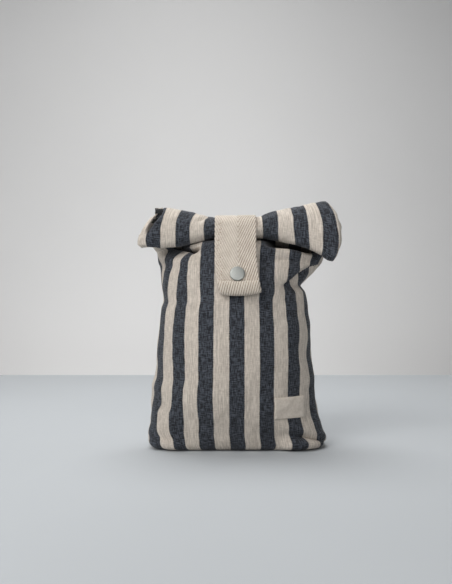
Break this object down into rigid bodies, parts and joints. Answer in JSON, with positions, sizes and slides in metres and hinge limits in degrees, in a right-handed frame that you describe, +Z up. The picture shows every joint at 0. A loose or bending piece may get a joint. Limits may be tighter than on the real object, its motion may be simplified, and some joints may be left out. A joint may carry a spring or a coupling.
{
  "type": "lunch bag",
  "caption": "Roll-top lunch bag of striped cotton, standing filled, its rolled mouth held down by a webbing strap with a press stud.",
  "frame": {"origin": "middle of the bag's bounding box, on the surface it stands on", "axes": "+Z up, -Y towards the front with the strap's end and the press stud, +X to the right as the front is seen"},
  "size_m": [0.2096, 0.1116, 0.2514],
  "materials": {
    "striped_cotton": "plain-woven cotton, cream and dark blue-grey stripes of about equal width, soft and matt",
    "cotton_webbing": "natural herringbone webbing, matt",
    "label_cotton": "blank cream cotton tape, matt",
    "nickel": "satin nickel plate"
  },
  "bodies": {
    "root": {"front_panel": "striped_cotton", "back_panel": "striped_cotton", "strap": "cotton_webbing", "stud_cap": "nickel", "stud_socket": "nickel", "stud_post": "nickel", "label": "label_cotton"}
  },
  "joints": []
}
